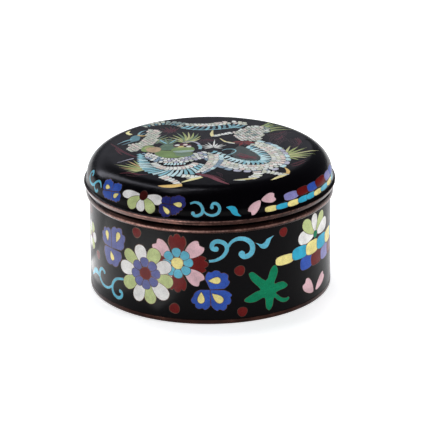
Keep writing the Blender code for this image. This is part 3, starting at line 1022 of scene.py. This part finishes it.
def round_lid(point):
    """A point of the lid's flower band, bent round the flat picture of the lid."""
    way = LID_REACH - LID_BAND_LIFT - point[1]
    turn = point[0] / LID_BAND_RADIUS
    return way * math.sin(turn), -way * math.cos(turn)


def half_turned(point):
    """The same place at the back of the lid."""
    return -point[0], -point[1]


def new_piece(name, mesh):
    """A mesh as a piece of the scene, on the body."""
    piece = bpy.data.objects.new(name, mesh)
    bpy.context.scene.collection.objects.link(piece)
    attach(piece, "root")
    return piece


def laid_on(name, flat, place, inside, backing):
    """The cut picture as a closed skin on its turned shape, and how many of its faces are the front.

    inside says which flat triangles belong to it. backing turns the edge in and closes the back.
    """
    corners, triangles, finishes = flat
    names = sorted(set(finishes) | {"black"})
    made = [place(c) for c in corners]
    shell = bmesh.new()
    verts = [shell.verts.new(p * MM) for p, _ in made]
    for triangle, finish in zip(triangles, finishes):
        middle = sum((corners[i] for i in triangle), Vector((0.0, 0.0))) / 3
        a, b, c = (made[i][0] for i in triangle)
        across = (b - a).cross(c - a)
        if not inside(middle) or across.length < 1e-7:
            continue
        outward = sum((made[i][1] for i in triangle), Vector())
        order = triangle if across.dot(outward) > 0 else triangle[::-1]
        face = shell.faces.new([verts[i] for i in order])
        face.material_index = names.index(finish)
    loose = [v for v in shell.verts if not v.link_faces]
    bmesh.ops.delete(shell, geom=loose, context="VERTS")
    bmesh.ops.remove_doubles(shell, verts=shell.verts, dist=0.0005 * MM)
    front = len(shell.faces)
    backing(shell)
    for face in shell.faces:
        face.smooth = True
    mesh = bpy.data.meshes.new(name)
    shell.to_mesh(mesh)
    shell.free()
    for finish in names:
        mesh.materials.append(FINISHES[finish])
    return mesh, front


def boundary_edges(shell):
    """The edges with a face on one side only."""
    return [e for e in shell.edges if e.is_boundary]


def turned_in(shell, edges, radius, z=None):
    """Draws edges in to a radius, and to a height if one is given; returns the new edges."""
    drawn = bmesh.ops.extrude_edge_only(shell, edges=edges)["geom"]
    for v in drawn:
        if isinstance(v, bmesh.types.BMVert):
            length = math.hypot(v.co.x, v.co.y)
            v.co.x *= radius * MM / length
            v.co.y *= radius * MM / length
            if z is not None:
                v.co.z = z * MM
    return [e for e in drawn if isinstance(e, bmesh.types.BMEdge)]


def close_wall(shell):
    """Both edges turn in by the skin's thickness, and a ring of faces between them closes the back."""
    edges = []
    for level in (BAND_FOOT, BAND_TOP):
        ring = [e for e in boundary_edges(shell) if all(abs(v.co.z / MM - level) < 0.01 for v in e.verts)]
        edges += turned_in(shell, ring, BODY_RADIUS - SKIN)
    bmesh.ops.bridge_loops(shell, edges=edges)


def close_lid(shell):
    """The edge turns in over the rim, and rings of the sheet's outer line close the back."""
    ring = turned_in(shell, boundary_edges(shell), LID_WALL_RADIUS - SKIN)
    for _, radius, z, out, up in LID_LINE[SHOULDER_END : CROWN_STEPS - 1 : -SHEET_STEP]:
        ring = turned_in(shell, ring, radius - SKIN * out, z - SKIN * up)
    bmesh.ops.holes_fill(shell, edges=ring)


def wall_skin():
    """The wall's picture, repeated round the back, as one skin."""
    half = math.pi * BODY_RADIUS
    picture = base_band()
    whole = Drawing()
    for shift in (-2 * half, -half, 0.0, half, 2 * half):
        moved = picture.spread(lambda p, s=shift: (p[0] + s, p[1]))
        whole.cells += [c for c in moved.cells if any(abs(x) < half for x, _ in c[0])]
    ground, lines = [], []
    for i in range(COLUMNS + 1):
        for j in range(WALL_ROWS + 1):
            y = BAND_FOOT + (BAND_TOP - BAND_FOOT) * j / WALL_ROWS
            ground.append((-half + 2 * half * i / COLUMNS, y))
            if j < WALL_ROWS:
                lines.append((len(ground) - 1, len(ground)))
            if j in (0, WALL_ROWS) and i < COLUMNS:
                lines.append((len(ground) - 1, len(ground) + WALL_ROWS))

    def inside(p):
        return abs(p[0]) < half and BAND_FOOT < p[1] < BAND_TOP

    return laid_on("base_band", cut(ground, lines, whole), on_wall, inside, close_wall)


def lid_skin():
    """The dragon and the flower band, twice half round, as one skin over the lid."""
    flowers = lid_band().spread(round_lid)
    whole = Drawing()
    whole.cells = flowers.cells + flowers.spread(half_turned).cells + dragon().cells
    ground = [(0.0, 0.0)]
    for ways, columns in CROWN_RINGS:
        for way in ways:
            ground += [polar((0, 0), 360 * i / columns, way) for i in range(columns)]
    for k in range(EDGE_RINGS + 1):
        way = EDGE_RINGS_FROM + (LID_REACH - EDGE_RINGS_FROM) * k / EDGE_RINGS
        first = len(ground)
        ground += [polar((0, 0), 360 * i / COLUMNS, way) for i in range(COLUMNS)]
    lines = [(first + i, first + (i + 1) % COLUMNS) for i in range(COLUMNS)]

    def inside(p):
        return math.hypot(p[0], p[1]) < LID_REACH + 1e-4

    return laid_on("lid_top", cut(ground, lines, whole), on_lid, inside, close_lid)


def with_true_normals(mesh, front, place_normal):
    """The skin shades as the turned surface does, whatever way its triangles run."""
    directions = []
    for face in mesh.polygons:
        for i in face.vertices:
            if face.index < front:
                directions.append(place_normal(mesh.vertices[i].co / MM))
            else:
                directions.append(face.normal)
    mesh.normals_split_custom_set(directions)


def wall_normal(co):
    """The wall's outward direction at a place on it."""
    return Vector((co.x, co.y, 0.0)).normalized()


def lid_normal(co):
    """The lid's outward direction over a place on it."""
    radius = math.hypot(co.x, co.y)
    best = min(LID_LINE, key=lambda row: (row[1] - radius) ** 2 + (row[2] - co.z) ** 2)
    if radius < 1e-6:
        return Vector((0.0, 0.0, 1.0))
    return Vector((best[3] * co.x / radius, best[3] * co.y / radius, best[4])).normalized()


# Materials


def material(name):
    """A new material, its node tree and its shader."""
    made = bpy.data.materials.new(name)
    made.use_nodes = True
    return made, made.node_tree, made.node_tree.nodes["Principled BSDF"]


def object_place(tree):
    """The place on the object, in metres, which doesn't change with the view."""
    return tree.nodes.new("ShaderNodeTexCoord").outputs["Object"]


def stored(tree, name):
    """An attribute of the mesh."""
    node = tree.nodes.new("ShaderNodeAttribute")
    node.attribute_name = name
    return node.outputs["Fac"]


def cloudy(tree, place, scale, detail):
    """A noise on Object coordinates, scale to the metre."""
    node = tree.nodes.new("ShaderNodeTexNoise")
    node.inputs["Scale"].default_value = scale
    node.inputs["Detail"].default_value = detail
    tree.links.new(place, node.inputs["Vector"])
    return node.outputs["Fac"]


def ramp(tree, factor, stops):
    """A colour ramp; a stop is (position, colour)."""
    node = tree.nodes.new("ShaderNodeValToRGB")
    elements = node.color_ramp.elements
    while len(elements) < len(stops):
        elements.new(0.5)
    for element, (position, colour) in zip(elements, stops):
        element.position = position
        element.color = (*colour, 1.0)
    tree.links.new(factor, node.inputs["Fac"])
    return node.outputs["Color"]


def blended(tree, factor, first, second, kind="MIX"):
    """Two colours in one. Each of the three is another node's output or a plain value."""
    node = tree.nodes.new("ShaderNodeMix")
    node.data_type = "RGBA"
    node.blend_type = kind
    for socket, value in (("Factor", factor), ("A", first), ("B", second)):
        if isinstance(value, bpy.types.NodeSocket):
            tree.links.new(value, node.inputs[socket])
        else:
            node.inputs[socket].default_value = value
    return node.outputs["Result"]


def roughened(tree, shader, source, low, high):
    """Roughness that follows a noise."""
    node = tree.nodes.new("ShaderNodeMapRange")
    node.inputs["To Min"].default_value = low
    node.inputs["To Max"].default_value = high
    tree.links.new(source, node.inputs["Value"])
    tree.links.new(node.outputs["Result"], shader.inputs["Roughness"])


def bumped(tree, shader, source, strength, distance):
    """A surface made uneven by a noise."""
    node = tree.nodes.new("ShaderNodeBump")
    node.inputs["Strength"].default_value = strength
    node.inputs["Distance"].default_value = distance
    tree.links.new(source, node.inputs["Height"])
    tree.links.new(node.outputs["Normal"], shader.inputs["Normal"])


def grey(value):
    """A colour between black, 0, and white, 1."""
    return (value, value, value)


def linear(colour):
    """An sRGB colour, 0 to 255, as the shader's linear values."""
    return tuple(((c / 255 + 0.055) / 1.055) ** 2.4 if c > 10 else c / 255 / 12.92 for c in colour)


def enamel(name, colour, grain, gloss=0.2, shine=0.07):
    """Glossy enamel, dusted with fine grain; its colour drifts a little and its surface is uneven."""
    made, tree, shader = material(name)
    place = object_place(tree)
    base = linear(colour)
    deep = tuple(c * 0.82 for c in base)
    bright = tuple(min(1.0, c * 1.12) for c in base)
    tone = ramp(tree, cloudy(tree, place, 260, 2), ((0.3, deep), (0.7, bright)))
    dust = ramp(tree, cloudy(tree, place, 2600, 3), ((0.36, grey(1 - grain)), (0.56, grey(1.0))))
    tree.links.new(blended(tree, 1.0, tone, dust, "MULTIPLY"), shader.inputs["Base Color"])
    shader.inputs["Specular IOR Level"].default_value = shine
    roughened(tree, shader, cloudy(tree, place, 420, 3), gloss * 0.7, gloss * 1.5)
    bumped(tree, shader, cloudy(tree, place, 330, 2), 0.1, 0.0004)
    return made


def copper(name, dark, light, gloss):
    """Brown copper, paler at worn places and painted highlights, nearly black at painted shade."""
    made, tree, shader = material(name)
    place = object_place(tree)
    patches = cloudy(tree, place, 190, 5)
    darkest = tuple(c * 0.75 for c in dark)
    tarnish = ramp(tree, patches, ((0.32, linear(darkest)), (0.5, linear(dark)), (0.72, linear(light))))
    scuff = cloudy(tree, place, 900, 4)
    # Worn places: partly real wear, partly painted highlights along the rims' edges
    worn = tree.nodes.new("ShaderNodeMath")
    worn.operation = "MULTIPLY"
    tree.links.new(stored(tree, "wear_and_highlight"), worn.inputs[0])
    tree.links.new(scuff, worn.inputs[1])
    shine = ramp(tree, worn.outputs[0], ((0.2, grey(0.0)), (0.62, grey(1.0))))
    rubbed_and_highlit = blended(tree, shine, tarnish, (*linear(WORN_AND_HIGHLIT_COPPER), 1.0))
    # Painted shade: nearly black copper in the gap under the lid's rim
    gap_shaded = blended(tree, stored(tree, "gap_shade"), rubbed_and_highlit, (*linear(GAP_SHADE_COLOUR), 1.0))
    tree.links.new(gap_shaded, shader.inputs["Base Color"])
    shader.inputs["Metallic"].default_value = 0.85
    roughened(tree, shader, patches, gloss * 0.75, gloss * 1.35)
    bumped(tree, shader, scuff, 0.15, 0.0002)
    return made


# Pale pinkish copper for worn places, which also serves as a painted highlight
WORN_AND_HIGHLIT_COPPER = (132, 100, 92)
# Nearly black copper, painted shade in the gap between the rims
GAP_SHADE_COLOUR = (14, 8, 7)

# The enamels' colours, 0 to 255, by how grainy they are
ENAMELS = {
    0.16: {
        "white": (235, 233, 229), "pink": (224, 184, 190), "cream": (230, 232, 214),
        "scale_white": (240, 243, 238), "pale_salmon": (236, 222, 214), "bone": (208, 214, 200),
        "claw_yellow": (252, 236, 176),
    },
    0.2: {
        "pale_green": (192, 204, 141), "yellow": (240, 226, 146), "turquoise": (98, 182, 205),
        "cyan": (52, 172, 205), "dark_slate": (76, 84, 82), "dull_ochre": (206, 176, 122),
        "pale_sage": (168, 188, 182), "salmon": (196, 170, 138), "ochre": (248, 208, 132),
        "sea": (150, 204, 216), "pale_sea": (208, 238, 242), "grey_blue": (142, 166, 186),
        "pale_lilac": (196, 196, 214), "leaf_green": (130, 158, 98), "pale_leaf_green": (178, 192, 126),
        "teal": (98, 126, 104), "lilac": (136, 134, 188), "straw": (214, 214, 158),
        "mid_leaf_green": (146, 172, 108), "moss_green": (122, 148, 120), "grey_sage": (150, 168, 164),
        "steel_blue": (108, 152, 164),
    },
    0.25: {
        "slate_blue": (98, 104, 158), "royal_blue": (52, 86, 176), "emerald": (4, 126, 86),
    },
    0.3: {
        "dark_blue": (48, 52, 118), "dark_red": (106, 23, 22), "brick": (138, 56, 54),
        "liver_brown": (66, 22, 18), "dusk_red": (44, 24, 32), "rose_brown": (128, 72, 82),
    },
    0.4: {
        "maroon": (88, 38, 48),
    },
}
FINISHES = {
    "black": enamel("black_enamel", (3, 2, 4), 0.2, shine=0.06),
    "chipped": enamel("chipped_enamel", (16, 14, 14), 0.3, gloss=0.6),
    "wire": copper("wire_copper", (64, 46, 38), (104, 78, 64), 0.4),
}
for grain, colours in ENAMELS.items():
    for finish, colour in colours.items():
        FINISHES[finish] = enamel(finish + "_enamel", colour, grain)
COPPER = copper("brown_copper", (46, 24, 18), (68, 41, 33), 0.24)
INSIDE = enamel("inside_enamel", (60, 140, 160), 0.35, 0.18)


# Copper work


def arc(centre, radii, start, end, steps):
    """Points on an elliptic arc, from start to end in degrees."""
    points = []
    for i in range(steps + 1):
        turn = math.radians(start + (end - start) * i / steps)
        points.append((centre[0] + radii[0] * math.cos(turn), centre[1] + radii[1] * math.sin(turn)))
    return points


def turned(name, profile, steps=256):
    """A profile of (radius, height) from axis to axis, spun round Z.

    It starts as a ring of points, without the edge that would close it.
    """
    bpy.ops.object.select_all(action="DESELECT")
    bpy.ops.mesh.primitive_circle_add(vertices=len(profile), radius=MM, location=(0, 0, 0))
    piece = bpy.context.object
    piece.name = name
    piece.data.name = name
    for vertex, (radius, z) in zip(piece.data.vertices, profile):
        vertex.co = (radius * MM, 0.0, z * MM)
    bpy.ops.object.mode_set(mode="EDIT")
    shape = bmesh.from_edit_mesh(piece.data)
    shape.verts.ensure_lookup_table()
    first, last = shape.verts[0], shape.verts[len(profile) - 1]
    joint = [e for e in shape.edges if first in e.verts and last in e.verts]
    bmesh.ops.delete(shape, geom=joint, context="EDGES")
    bmesh.update_edit_mesh(piece.data)
    bpy.ops.mesh.select_all(action="SELECT")
    bpy.ops.mesh.spin(steps=steps, angle=2 * math.pi, center=(0, 0, 0), axis=(0, 0, 1))
    bpy.ops.mesh.select_all(action="SELECT")
    bpy.ops.mesh.remove_doubles(threshold=0.001 * MM)
    bpy.ops.mesh.dissolve_degenerate(threshold=0.0001 * MM)
    bpy.ops.mesh.normals_make_consistent(inside=False)
    bpy.ops.object.mode_set(mode="OBJECT")
    bpy.ops.object.shade_smooth_by_angle(angle=math.radians(40))
    return piece


def lined(piece, is_lining):
    """Copper all over, and blue enamel where the test of (radius, height, slope up) says so."""
    piece.data.materials.append(COPPER)
    piece.data.materials.append(INSIDE)
    for face in piece.data.polygons:
        radius = math.hypot(face.center.x, face.center.y) / MM
        if is_lining(radius, face.center.z / MM, face.normal.z):
            face.material_index = 1
    return piece


def base_copper():
    """The vessel: floor, collar, mouth rim and foot ring, then back in to the underside's middle."""
    fillet = 3
    half_collar = COLLAR_THICKNESS / 2
    collar = INNER_WALL_RADIUS - COLLAR_THICKNESS
    reach = RIM_BELLY_RADIUS - RIM_CORE_RADIUS
    middle = (RIM_CORE_RADIUS, RIM_BELLY)
    recess = BODY_RADIUS - SKIN - FIT
    top, foot = BAND_TOP + FIT, BAND_FOOT - FIT
    edge = 0.2
    profile = [(0.0, FLOOR_TOP)]
    profile += arc((INNER_WALL_RADIUS - fillet, FLOOR_TOP + fillet), (fillet, fillet), -90, 0, 8)
    profile += [(INNER_WALL_RADIUS, COLLAR_FOOT), (collar, COLLAR_FOOT)]
    profile += arc((collar + half_collar, COLLAR_TOP - half_collar), (half_collar, half_collar), 180, 0, 8)
    profile += [(INNER_WALL_RADIUS, RIM_TOP)]
    profile += arc(middle, (reach, RIM_TOP - RIM_BELLY), 90, 0, 12)
    profile += arc(middle, (reach, RIM_BELLY - BAND_TOP - FIT), 0, -90, 12)[1:]
    profile += [(recess, top), (recess, foot), (FOOT_RADIUS - edge, foot)]
    profile += arc((FOOT_RADIUS - edge, foot - edge), (edge, edge), 90, 0, 3)[1:]
    profile += arc((FOOT_RADIUS - FOOT_ROUNDING, FOOT_ROUNDING), (FOOT_ROUNDING, FOOT_ROUNDING), 0, -90, 6)
    under = FOOT_INNER_RADIUS - FOOT_ROUNDING / 2
    profile += [(FOOT_INNER_RADIUS, 0.0), (under, UNDERSIDE), (0.0, UNDERSIDE)]

    def is_lining(radius, z, _):
        inside = radius < INNER_WALL_RADIUS + 0.01 and FLOOR_TOP - 0.01 < z < COLLAR_FOOT - 0.01
        return inside or (radius < under - 0.01 and z < UNDERSIDE + 0.01)

    return lined(turned("base_copper", profile), is_lining)


def lid_copper():
    """The lid's sheet and rim, from the top's middle down the outside and back inside."""
    outer = SKIN + FIT
    inner = outer + SEAM + LID_SHEET
    dome = LID_LINE[: SHOULDER_END - SHEET_STEP + 1 : SHEET_STEP]
    edge, foot_edge = 0.3, 0.4
    top = LID_RIM_TOP + RIM_LIFT
    profile = [(max(0.0, r - outer * o), z - outer * u) for _, r, z, o, u in dome]
    profile += [(LID_WALL_RADIUS - outer, top), (LID_RIM_RADIUS - edge, top)]
    profile += arc((LID_RIM_RADIUS - edge, top - edge), (edge, edge), 90, 0, 4)[1:]
    profile += [(LID_RIM_FOOT_RADIUS + RIM_SWELL, LID_RIM_FOOT + 1.0)]
    for radius, start, end in (
        (LID_RIM_FOOT_RADIUS - foot_edge, 0, -90), (LID_INNER_RADIUS + foot_edge, 270, 180),
    ):
        profile += arc((radius, LID_RIM_FOOT + foot_edge), (foot_edge, foot_edge), start, end, 4)
    profile += [(max(0.0, r - inner * o), z - inner * u) for _, r, z, o, u in reversed(dome)]

    def is_lining(radius, z, slope):
        return slope < 0.1 and radius < LID_INNER_RADIUS + 0.01 and z > LID_RIM_FOOT + 1

    return lined(turned("lid_copper", profile), is_lining)


def paint_wear_highlight_and_shade(piece, crests, joint):
    """Stores how much each place is worn and painted as highlit, most on the crests, and where painted
    shade darkens the joint.

    A crest is (radius, height, width). The joint is two heights: unshaded at the first, black at the
    second.
    """
    wear_and_highlight = piece.data.attributes.new("wear_and_highlight", "FLOAT", "POINT")
    gap_shade = piece.data.attributes.new("gap_shade", "FLOAT", "POINT")
    shade_start, black = joint
    for vertex in piece.data.vertices:
        radius = math.hypot(vertex.co.x, vertex.co.y) / MM
        z = vertex.co.z / MM
        # Paler near each crest: partly wear, partly a painted highlight on the rims' edges
        best = 0.0
        for crest_radius, crest_z, width in crests:
            away = math.hypot(radius - crest_radius, z - crest_z)
            best = max(best, math.exp(-((away / width) ** 2)))
        patchy = 0.9 + 0.4 * noise.noise(vertex.co * 90)
        wear_and_highlight.data[vertex.index].value = best * patchy
        # Painted shade: darker towards the gap between the lid's rim and the body's rim
        if radius > BODY_RADIUS - 2.5:
            gap_shade.data[vertex.index].value = min(1.0, max(0.0, (z - shade_start) / (black - shade_start)))


def dent(piece, depth, scale):
    """Makes turned copper very slightly uneven, as worn metal is."""
    for vertex in piece.data.vertices:
        radius = math.hypot(vertex.co.x, vertex.co.y)
        if radius > (BODY_RADIUS - 0.2) * MM:
            push = 1 + depth * MM / radius * noise.noise(vertex.co * scale)
            vertex.co.x *= push
            vertex.co.y *= push


# Setting


def soft_light(name, place, target, width, height, power, colour=(1, 1, 1)):
    """A rectangular soft light aimed at a point; returns its holder."""
    lamp = bpy.data.lights.new(name, "AREA")
    lamp.shape = "RECTANGLE"
    lamp.size = width
    lamp.size_y = height
    lamp.energy = power
    lamp.color = colour
    holder = bpy.data.objects.new(name, lamp)
    holder.location = place
    holder.rotation_euler = (Vector(target) - Vector(place)).to_track_quat("-Z", "Y").to_euler()
    bpy.context.scene.collection.objects.link(holder)
    return holder


def camera():
    """At the photo's height and distance, turned so that the picture is a touch higher on its right."""
    elevation = math.radians(21.69)
    distance = 1.390
    focal_pixels = 3386.0
    picture = 432.0
    base_pixel = (210.06, 278.8)
    pixel = distance / focal_pixels
    right = (picture / 2 - base_pixel[0]) * pixel
    up = (base_pixel[1] - picture / 2) * pixel
    target = Vector((right, up * math.sin(elevation), up * math.cos(elevation)))
    place = Vector((0.0, -distance * math.cos(elevation), distance * math.sin(elevation)))
    eye = bpy.data.cameras.new("eye")
    eye.sensor_width = 36.0
    eye.lens = focal_pixels / picture * eye.sensor_width
    eye.clip_start = 0.05
    holder = bpy.data.objects.new("eye", eye)
    holder.location = place
    turn = (target - place).to_track_quat("-Z", "Y").to_matrix().to_4x4()
    roll = -0.010
    holder.rotation_euler = (turn @ turn.Rotation(roll, 4, "Z")).to_euler()
    bpy.context.scene.collection.objects.link(holder)
    bpy.context.scene.camera = holder


def floor():
    """A plain pale floor that gives off some light of its own, as white paper over a light does."""
    bpy.ops.object.select_all(action="DESELECT")
    bpy.ops.mesh.primitive_plane_add(size=6, location=(0, 0, -0.0002))
    ground = bpy.context.object
    ground.name = "floor"
    made, _, shader = material("floor_paper")
    shader.inputs["Base Color"].default_value = (0.9, 0.9, 0.9, 1)
    shader.inputs["Roughness"].default_value = 0.6
    shader.inputs["Emission Color"].default_value = (1, 1, 1, 1)
    shader.inputs["Emission Strength"].default_value = 0.63
    ground.data.materials.append(made)


def dress():
    """The four pieces, each on its body and in its node's place."""
    mesh, front = wall_skin()
    band = new_piece("base_band", mesh)
    with_true_normals(mesh, front, wall_normal)
    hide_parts("base_enamel")
    mesh, front = lid_skin()
    top = new_piece("lid_top", mesh)
    with_true_normals(mesh, front, lid_normal)
    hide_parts("lid_enamel")
    base = base_copper()
    dent(base, 0.12, 110)
    # Paler copper on the mouth rim's belly and the foot: partly wear, partly painted highlight
    base_crests = ((RIM_BELLY_RADIUS, RIM_BELLY + 0.1, 0.5), (FOOT_RADIUS, 1.1, 0.45))
    # Painted shade: the body's rim darkens above its belly, towards the gap under the lid
    paint_wear_highlight_and_shade(base, base_crests, (RIM_BELLY + 1.2, RIM_BELLY + 1.9))
    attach(base, "root")
    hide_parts("copper_base")
    lid = lid_copper()
    dent(lid, 0.08, 110)
    # Paler copper along the lid rim's top and lower edges: partly wear, partly painted highlight
    lid_crests = (
        (LID_RIM_RADIUS, LID_RIM_TOP - 0.1, 0.25), (LID_RIM_FOOT_RADIUS + 0.2, LID_RIM_FOOT + 0.6, 0.35),
    )
    # Painted shade: the lid's rim darkens towards its foot, over the gap
    paint_wear_highlight_and_shade(lid, lid_crests, (LID_RIM_FOOT + 0.3, LID_RIM_FOOT))
    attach(lid, "root")
    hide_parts("copper_lid")


dress()
floor()
camera()
# Lights that the enamel mirrors: a thin one overhead, a streak and a low one at the left, a panel behind
COOL = (0.88, 0.88, 1.0)
for light in (
    ("strip", (-0.25, 0.19, 1.1), (0, 0, 0.05), 0.7, 0.05, 2.4, COOL),
    ("streak", (-0.62, 0.56, 0.82), (0, 0, 0.05), 0.18, 1.3, 7, COOL),
    ("low left", (-1.3, 0.05, 0.35), (0, 0, 0.03), 0.8, 0.4, 1.3),
    ("behind", (-0.7, 2.5, 0.95), (0, 0, 0.05), 2.4, 0.6, 2.6, COOL),
):
    soft_light(*light).visible_diffuse = False
# Fill lights as behind crossed polarizers, so that the enamel doesn't mirror them
for light in (
    ("top fill", (-0.1, 0.5, 1.5), (0, 0, 0.05), 0.9, 0.7, 13),
    ("right fill", (1.2, -0.6, 0.6), (0, 0, 0.03), 0.6, 0.6, 7.5),
    ("front fill", (-0.9, -1.2, 0.7), (0, 0, 0.03), 0.8, 0.8, 2),
    ("left fill", (-1.2, 0.2, 0.5), (0, 0, 0.03), 0.6, 0.6, 2.6),
):
    soft_light(*light).visible_glossy = False
# Sheets of light on the floor at the left, seen only as the pale veil that they leave on the wall
SHEETS = (
    (-0.075, -0.085, 0.09, 0.07, 0.089), (-0.1, -0.015, 0.09, 0.07, 0.045), (-0.1, 0.07, 0.08, 0.08, 0.012),
)
for x, y, width, depth, power in SHEETS:
    sheet = soft_light("floor sheet", (x, y, 0.0006), (x, y, 1.0), width, depth, power)
    sheet.visible_camera = False
    sheet.visible_diffuse = False
world = bpy.data.worlds.new("studio")
bpy.context.scene.world = world
world.use_nodes = True
sky = world.node_tree.nodes["Background"]
sky.inputs["Color"].default_value = (0.8, 0.85, 1.0, 1)
sky.inputs["Strength"].default_value = 0.14
bpy.context.scene.view_settings.view_transform = "Standard"
